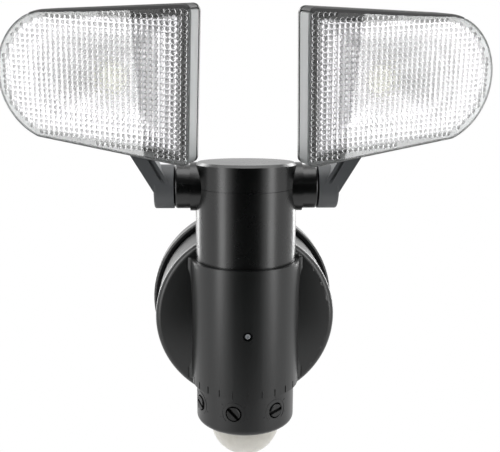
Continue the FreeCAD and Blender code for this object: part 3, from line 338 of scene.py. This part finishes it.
def edgeLine(run, sign, inset):
    half = lensShape["innerHeight"] / 2
    dx, dy = run, sign * (lensShape["endHalfHeight"] - half)
    length = math.hypot(dx, dy)
    dx, dy = dx / length, dy / length
    px, py = sign * dy * inset, sign * half - sign * dx * inset
    cx, cy, radius = tipCircle()
    radius -= inset
    ox, oy = px - cx, py - cy
    along = ox * dx + oy * dy
    reach = -along + math.sqrt(along ** 2 - (ox ** 2 + oy ** 2 - radius ** 2))
    start = (inset - px) / dx
    return Vector((px + start * dx, py + start * dy)), Vector((px + reach * dx, py + reach * dy))


def cornerArc(before, corner, after, radius, steps):
    a, b = (before - corner).normalized(), (after - corner).normalized()
    half = math.acos(a.dot(b)) / 2
    centre = corner + (a + b).normalized() * radius / math.sin(half)
    start = corner + a * radius / math.tan(half) - centre
    end = corner + b * radius / math.tan(half) - centre
    turn = start.angle_signed(end)
    return [centre + Matrix.Rotation(-turn * i / steps, 2) @ start for i in range(steps + 1)]


def spread(start, end, steps):
    return [start.lerp(end, i / steps) for i in range(1, steps)]


def headOutline(inset, corner=None):
    corner = lensShape["cornerRound"] if corner is None else corner
    topIn, topOut = edgeLine(lensShape["topRun"], 1, inset)
    bottomIn, bottomOut = edgeLine(lensShape["bottomRun"], -1, inset)
    cx, cy, radius = tipCircle()
    radius -= inset
    topArc = cornerArc(bottomIn, topIn, topOut, corner, 6)
    bottomArc = cornerArc(bottomOut, bottomIn, topIn, corner, 6)
    first = math.atan2(topOut.y - cy, topOut.x - cx)
    last = math.atan2(bottomOut.y - cy, bottomOut.x - cx)
    tip = [Vector((cx + radius * math.cos(first + (last - first) * i / 48),
                   cy + radius * math.sin(first + (last - first) * i / 48))) for i in range(49)]
    points = topArc + spread(topArc[-1], tip[0], 12) + tip + spread(tip[-1], bottomArc[0], 12)
    return points + bottomArc + spread(bottomArc[-1], topArc[0], 12)


def ringAt(bm, place, outline, depth):
    return [bm.verts.new(place @ Vector((p.x, depth, p.y))) for p in outline]


def edgeDistance(point, outline):
    inside = False
    nearest = 1e9
    for a, b in zip(outline, outline[1:] + outline[:1]):
        if (a.y > point.y) != (b.y > point.y):
            if point.x < (b.x - a.x) * (point.y - a.y) / (b.y - a.y) + a.x:
                inside = not inside
        edge = b - a
        t = max(0, min(1, (point - a).dot(edge) / edge.length_squared))
        nearest = min(nearest, (point - a - edge * t).length)
    return nearest if inside else -nearest


def lensletPoints(outline):
    # each lenslet is the cap of a ball, sampled more closely towards its rim, where it is steepest
    s = lensShape
    across, up, radius, ball = s["pitchAcross"], s["pitchUp"], s["lensletRadius"], s["ballRadius"]
    foot = math.sqrt(ball ** 2 - radius ** 2)
    points, heights, rims = [], [], []
    rows = int(s["innerHeight"] / up / 2) + 1
    for i in range(int(s["length"] / across) + 1):
        for j in range(-rows, rows + 1):
            centre = Vector(((i + 1.04) * across, j * up))
            if edgeDistance(centre, outline) < radius + s["lensletMargin"]:
                continue
            points.append(centre)
            heights.append(ball - foot)
            rims.append(None)
            for share, count in ((0.35, 6), (0.65, 10), (0.87, 14), (1.0, 14)):
                for k in range(count):
                    angle = 2 * math.pi * k / count
                    points.append(centre + Vector((math.cos(angle), math.sin(angle))) * radius * share)
                    heights.append(math.sqrt(ball ** 2 - (radius * share) ** 2) - foot)
                    rims.append((i, j) if share == 1.0 else None)
    return points, heights, rims


def headLens(side):
    s = lensShape
    place = headMatrix(side)
    bm = bmesh.new()
    face = headOutline(s["bevel"])
    plain, lapped = headOutline(s["inset"]), headOutline(s["lipInset"])
    outer = [lapped[i] if s["lipFrom"] <= i < s["lipTo"] else plain[i] for i in range(len(plain))]
    inner = headOutline(s["wall"], s["cornerRound"] - 1)
    front = ringAt(bm, place, face, s["faceDepth"])
    edge = ringAt(bm, place, outer, s["bevel"])
    bridgeRings(bm, [front, edge])
    skirt = [edge, ringAt(bm, place, outer, s["skirt"]), ringAt(bm, place, inner, s["skirt"]),
             ringAt(bm, place, inner, s["wall"])]
    for face in bridgeRings(bm, skirt):
        face.material_index = 1
    bm.faces.new(front)
    points, heights, rims = lensletPoints(inner)
    count = len(inner)
    edges = [(i, (i + 1) % count) for i in range(count)]
    verts, _, faces, origins, _, _ = delaunay_2d_cdt([Vector((p.x, p.y)) for p in inner] + points, edges, [], 1, 1e-5)
    depths = [0.0] * count + heights
    rims = [None] * count + rims
    made, rimOf = [], []
    for vert, origin in zip(verts, origins):
        rise = max([depths[i] for i in origin] or [0.0])
        made.append(bm.verts.new(place @ Vector((vert.x, s["wall"] + rise, vert.y))))
        rimOf.append(next((rims[i] for i in origin if rims[i]), None))
    for corners in faces:
        face = bm.faces.new([made[i] for i in corners])
        for k, edge in enumerate(face.edges):
            first, second = rimOf[corners[k]], rimOf[corners[(k + 1) % len(corners)]]
            if first and first == second:  # a crisp crease where a lenslet meets the flat
                edge.smooth = False
    bmesh.ops.remove_doubles(bm, verts=bm.verts, dist=1e-6)
    for edge in bm.edges:  # the cover's own corners stay crisp, so that its flat faces refract as flat ones
        if len(edge.link_faces) == 2 and edge.calc_face_angle() > math.radians(25):
            edge.smooth = False
    piece = meshObject(side + "LensCover", bm, finishes["clearPolycarbonate"], side + "_head_body")
    piece.data.materials.append(finishes["frostedPolycarbonate"])
    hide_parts(side + "_head_lens")
    return piece


# reflector: a bright bowl that falls from the lens's edge to a round opening at the lamp
reflectorShape = {
    "rimInset": 6.0, "tipInset": 3.4, "rimDepth": 2.5, "openingRun": 50, "openingRadius": 7.7, "openingDepth": 14.6,
    "bowl": 2.6, "steps": 12, "wall": 0.6,
}


def openingOutline():
    # as many points as the head's outline, in the same order, so that the two can be joined
    s = reflectorShape
    turns = ((143, 127, 6), (127, 45, 12), (45, -45, 48), (-45, -127, 12), (-127, -143, 6), (-143, -217, 12))
    points = []
    for index, (first, last, count) in enumerate(turns):
        whole = index in (0, 2, 4)
        for i in range(count + 1) if whole else range(1, count):
            angle = math.radians(first + (last - first) * i / count)
            points.append(Vector((s["openingRun"] + s["openingRadius"] * math.cos(angle),
                                  s["openingRadius"] * math.sin(angle))))
    return points


def reflectorBowl(side):
    s = reflectorShape
    place = headMatrix(side)
    wide, close = headOutline(s["rimInset"], 1.5), headOutline(s["tipInset"], 1.5)
    rim = [a.lerp(b, min(1, max(0, a.x) / lensShape["topRun"]) ** 2) for a, b in zip(wide, close)]
    opening = openingOutline()
    bm = bmesh.new()
    front, back = [], []
    for step in range(s["steps"] + 1):
        share = step / s["steps"]
        depth = s["rimDepth"] + (s["openingDepth"] - s["rimDepth"]) * share ** s["bowl"]
        outline = [a.lerp(b, share) for a, b in zip(rim, opening)]
        front.append(ringAt(bm, place, outline, depth))
        back.append(ringAt(bm, place, outline, depth + s["wall"]))
    bridgeRings(bm, front + back[::-1], closed=True)
    piece = meshObject(side + "ReflectorBowl", bm, finishes["metallisedAbs"], side + "_head_body")
    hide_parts(side + "_reflector")


# rain lip: the shell's thin black lip, which laps over the top of the lens and round its front edge
lipShape = {
    "outside": 0.02, "thick": 0.56, "front": 0.12, "bevel": 0.75, "faceDepth": 0.44, "reach": 2.3, "back": 10.4,
    "taper": 9,
}


def rainLip(side):
    s = lipShape
    place = headMatrix(side)
    first, last = lensShape["lipFrom"], lensShape["lipTo"]
    outside, inside = headOutline(s["outside"]), headOutline(s["thick"])
    far, bevelled = headOutline(s["reach"], 2), headOutline(s["bevel"])
    bm = bmesh.new()
    rings = []
    for i in range(first, last):
        tip = inside[i].lerp(far[i], 0.1 + 0.9 * min(1, (last - 1 - i) / s["taper"]))
        corners = ((bevelled[i], s["front"]), (outside[i], s["front"] + s["bevel"]), (outside[i], s["back"]),
                   (inside[i], s["back"]), (inside[i], s["faceDepth"]), (tip, s["faceDepth"]), (tip, s["front"]))
        rings.append([bm.verts.new(place @ Vector((p.x, depth, p.y))) for p, depth in corners])
    bridgeRings(bm, rings)
    bm.faces.new(rings[0])
    bm.faces.new(rings[-1])
    piece = meshObject(side + "RainLip", bm, finishes["mattBlackAbs"], side + "_head_body", smooth=False)


for side in sides:
    lens = headLens(side)
    reflectorBowl(side)
    rainLip(side)
    print("lens cover and reflector made:", side, len(lens.data.polygons))


# raised scales round the setting dials: a fine ring with plain marks, moulded on the sensor head
dialScale = {
    "housingRadius": 30.2, "axisY": -58, "dialHeight": -49.3, "turn": -15.7, "spacing": 51,
    "ringRadius": 7.0, "ringSpan": 280, "stripWidth": 0.45, "proud": 0.16, "sink": 0.12,
    "marks": 5, "markStart": 7.9, "markEnd": 9.3, "markSpan": 220,
}


def onHousing(across, up, lift, turn):
    values = dialScale
    radius = values["housingRadius"] + lift
    angle = math.radians(turn) + across / values["housingRadius"]
    return Vector((radius * math.sin(angle), values["axisY"] - radius * math.cos(angle),
                   values["dialHeight"] + up)) * mm


def raisedStrip(bm, line, turn):
    values = dialScale
    rings = []
    for index, point in enumerate(line):
        ahead = line[min(index + 1, len(line) - 1)] - line[max(index - 1, 0)]
        across = Vector((-ahead.y, ahead.x)).normalized() * values["stripWidth"] / 2
        corners = ((point + across, -values["sink"]), (point + across * 0.6, values["proud"]),
                   (point - across * 0.6, values["proud"]), (point - across, -values["sink"]))
        rings.append([bm.verts.new(onHousing(corner.x, corner.y, lift, turn)) for corner, lift in corners])
    bridgeRings(bm, rings)
    bm.faces.new(rings[0])
    bm.faces.new(rings[-1])


def polar(radius, degrees):
    return Vector((radius * math.sin(math.radians(degrees)), radius * math.cos(math.radians(degrees))))


def dialScales():
    values = dialScale
    bm = bmesh.new()
    for offset in (-values["spacing"], 0, values["spacing"]):
        turn = values["turn"] + offset
        half = values["ringSpan"] / 2
        raisedStrip(bm, [polar(values["ringRadius"], -half + 2 * half * i / 40) for i in range(41)], turn)
        for i in range(values["marks"]):
            angle = values["markSpan"] * (i / (values["marks"] - 1) - 0.5)
            raisedStrip(bm, [polar(values["markStart"], angle), polar(values["markEnd"], angle)], turn)
    piece = meshObject("dialScales", bm, finishes["dullBlackAbs"], "sensor_head", smooth=False)


dialScales()
print("dial scales made")


# setting dials: a knob with a wide screwdriver slot, standing in a shadowed ring
dialShape = {
    "radius": 4.05, "face": 30.8, "slotWidth": 2.0, "slotDepth": 2.3, "thickness": 3.4, "bevel": 0.35, "around": 48,
    "turn": {"left": 20, "middle": 45, "right": -10},
}


def slabAlong(bm, move, outline, front, back, bevel):
    # a closed slab with a bevelled front edge; outline runs round in the dial's own plane
    middle = sum(outline, Vector((0, 0))) / len(outline)
    small = [point + (middle - point).normalized() * bevel for point in outline]
    rings = [[bm.verts.new(move @ Vector((point.x, -depth, point.y))) for point in line]
             for line, depth in ((small, front), (outline, front - bevel), (outline, back))]
    bridgeRings(bm, rings)
    bm.faces.new(rings[0])
    bm.faces.new(rings[-1])


def settingDial(name):
    s = dialShape
    offset = {"left": -1, "middle": 0, "right": 1}[name] * dialScale["spacing"]
    turn = Matrix.Rotation(math.radians(dialScale["turn"] + offset), 4, "Z")
    knobTurn = Matrix.Rotation(math.radians(s["turn"][name]), 4, "Y")
    move = Matrix.Scale(mm, 4) @ Matrix.Translation((0, dialScale["axisY"], dialScale["dialHeight"])) @ turn @ knobTurn
    bm = bmesh.new()
    floor = s["face"] - s["slotDepth"]
    disc = [Vector((math.cos(a), math.sin(a))) * s["radius"]
            for a in [2 * math.pi * i / s["around"] for i in range(s["around"])]]
    slabAlong(bm, move, disc, floor, s["face"] - s["thickness"], 0.05)
    edge = math.asin(s["slotWidth"] / 2 / s["radius"])
    for start in (0, math.pi):
        bow = [Vector((math.cos(a), math.sin(a))) * s["radius"]
               for a in [start + edge + (math.pi - 2 * edge) * i / 24 for i in range(25)]]
        slabAlong(bm, move, bow, s["face"], floor - 0.1, s["bevel"])
    piece = meshObject(name + "SettingDial", bm, finishes["blackAcetal"], name + "_dial_body", smooth=False)
    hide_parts(name + "_dial")


for name in dials:
    settingDial(name)
print("setting dials made:", len(dials))


studio = {
    "camera": (-19.4, -506.6, 150.1), "heading": 2.8, "pitch": 11.5, "roll": 0.3, "lensMm": 54.72,
    "floorHeight": -420, "wallBehind": 700,
    "worldLevel": 0.07,
    "lamps": {
        "leftSoftbox": {"place": (-1000, -710, 250), "size": (330, 1300), "watts": 6},
        "rightSoftbox": {"place": (1000, -710, 250), "size": (330, 1300), "watts": 6},
        "leftRimLight": {"place": (-520, 600, 150), "size": (200, 1300), "watts": 6},
        "rightRimLight": {"place": (520, 600, 150), "size": (200, 1300), "watts": 6},
        "topSoftbox": {"place": (0, -350, 1150), "size": (2200, 1500), "watts": 27},
    },
    "frontCard": {"across": (-470, 470), "behindCamera": -750, "up": (-350, 850)},
    "target": (0, -60, 60),
}


def studioCamera():
    az, pitch, roll = (math.radians(studio[key]) for key in ("heading", "pitch", "roll"))
    forward = Vector((math.sin(az) * math.cos(pitch), math.cos(az) * math.cos(pitch), -math.sin(pitch)))
    right = Vector((math.cos(az), -math.sin(az), 0))
    up = right.cross(forward)
    rolledRight = right * math.cos(roll) + up * math.sin(roll)
    rolledUp = up * math.cos(roll) - right * math.sin(roll)
    data = bpy.data.cameras.new("studioCamera")
    data.sensor_width = 36
    data.lens = studio["lensMm"]
    data.clip_start = 0.01
    camera = bpy.data.objects.new("studioCamera", data)
    turn = Matrix((rolledRight, rolledUp, -forward)).transposed().to_4x4()
    camera.matrix_world = Matrix.Translation(Vector(studio["camera"]) * mm) @ turn
    bpy.context.scene.collection.objects.link(camera)
    bpy.context.scene.camera = camera


def backgroundSeen(tree):
    # rays that meet the background directly, in a reflection or through the clear lens
    ray = addNode(tree, "ShaderNodeLightPath")
    seen = addNode(tree, "ShaderNodeMath", {"operation": "MAXIMUM"})
    tree.links.new(ray.outputs["Is Camera Ray"], seen.inputs[0])
    tree.links.new(ray.outputs["Is Glossy Ray"], seen.inputs[1])
    anySeen = addNode(tree, "ShaderNodeMath", {"operation": "MAXIMUM"})
    tree.links.new(seen.outputs[0], anySeen.inputs[0])
    tree.links.new(ray.outputs["Is Transmission Ray"], anySeen.inputs[1])
    return anySeen


def paleBackdrop():
    material, tree = startMaterial("paleBackdrop")
    seen = backgroundSeen(tree)
    paint = addNode(tree, "ShaderNodeBsdfDiffuse", {"Color": linearColour("#dcdcdc")})
    glow = addNode(tree, "ShaderNodeEmission", {"Color": linearColour("#ffffff"), "Strength": 1.0})
    both = addNode(tree, "ShaderNodeMixShader", links={"Fac": seen.outputs[0]})
    tree.links.new(paint.outputs[0], both.inputs[1])
    tree.links.new(glow.outputs[0], both.inputs[2])
    addNode(tree, "ShaderNodeOutputMaterial", links={"Surface": both.outputs[0]})
    return material


def blackFelt():
    # the card behind the camera, as product photographers use it: nearly no reflection
    material, tree = startMaterial("blackFelt")
    paint = addNode(tree, "ShaderNodeBsdfDiffuse", {"Color": linearColour("#080808")})
    addNode(tree, "ShaderNodeOutputMaterial", links={"Surface": paint.outputs[0]})
    return material


def frontCard():
    values = studio["frontCard"]
    bm = bmesh.new()
    corners = ((0, 0), (1, 0), (1, 1), (0, 1))
    bm.faces.new([bm.verts.new(Vector((values["across"][i], values["behindCamera"], values["up"][j])) * mm)
                  for i, j in corners])
    mesh = bpy.data.meshes.new("frontCard")
    bm.to_mesh(mesh)
    bm.free()
    mesh.materials.append(blackFelt())
    card = bpy.data.objects.new("frontCard", mesh)
    card.visible_camera = False
    bpy.context.scene.collection.objects.link(card)


def studioSweep():
    bm = bmesh.new()
    width, depth, height, bend = 3.0, studio["wallBehind"] * mm, 2.2, 0.5
    low = studio["floorHeight"] * mm
    profile = [(-1.6, low), (depth - bend, low)]
    profile += [(depth - bend + bend * math.sin(a), low + bend - bend * math.cos(a))
                for a in [math.radians(10 * i) for i in range(1, 10)]]
    profile += [(depth, height)]
    rows = [[bm.verts.new((x, y, z)) for y, z in profile] for x in (-width, width)]
    for i in range(len(profile) - 1):
        bm.faces.new((rows[0][i], rows[1][i], rows[1][i + 1], rows[0][i + 1]))
    mesh = bpy.data.meshes.new("studioSweep")
    bm.to_mesh(mesh)
    bm.free()
    mesh.materials.append(paleBackdrop())
    sweep = bpy.data.objects.new("studioSweep", mesh)
    bpy.context.scene.collection.objects.link(sweep)


def softbox(name, values):
    data = bpy.data.lights.new(name, "AREA")
    data.shape = "RECTANGLE"
    data.size, data.size_y = (value * mm for value in values["size"])
    data.energy = values["watts"]
    lamp = bpy.data.objects.new(name, data)
    lamp.visible_camera = False
    place = Vector(values["place"]) * mm
    aim = Vector(studio["target"]) * mm - place
    lamp.matrix_world = Matrix.Translation(place) @ aim.to_track_quat("-Z", "Y").to_matrix().to_4x4()
    bpy.context.scene.collection.objects.link(lamp)


def studioWorld():
    world = bpy.data.worlds.new("studioWorld")
    world.use_nodes = True
    tree = world.node_tree
    tree.nodes.clear()
    seen = backgroundSeen(tree)
    soft = addNode(tree, "ShaderNodeBackground", {"Color": linearColour("#ffffff"), "Strength": studio["worldLevel"]})
    white = addNode(tree, "ShaderNodeBackground", {"Color": linearColour("#ffffff"), "Strength": 1.0})
    both = addNode(tree, "ShaderNodeMixShader", links={"Fac": seen.outputs[0]})
    tree.links.new(soft.outputs[0], both.inputs[1])
    tree.links.new(white.outputs[0], both.inputs[2])
    addNode(tree, "ShaderNodeOutputWorld", links={"Surface": both.outputs[0]})
    bpy.context.scene.world = world


studioCamera()
studioSweep()
frontCard()
studioWorld()
for name, values in studio["lamps"].items():
    softbox(name, values)
bpy.context.scene.view_settings.view_transform = "Standard"
print("studio set")
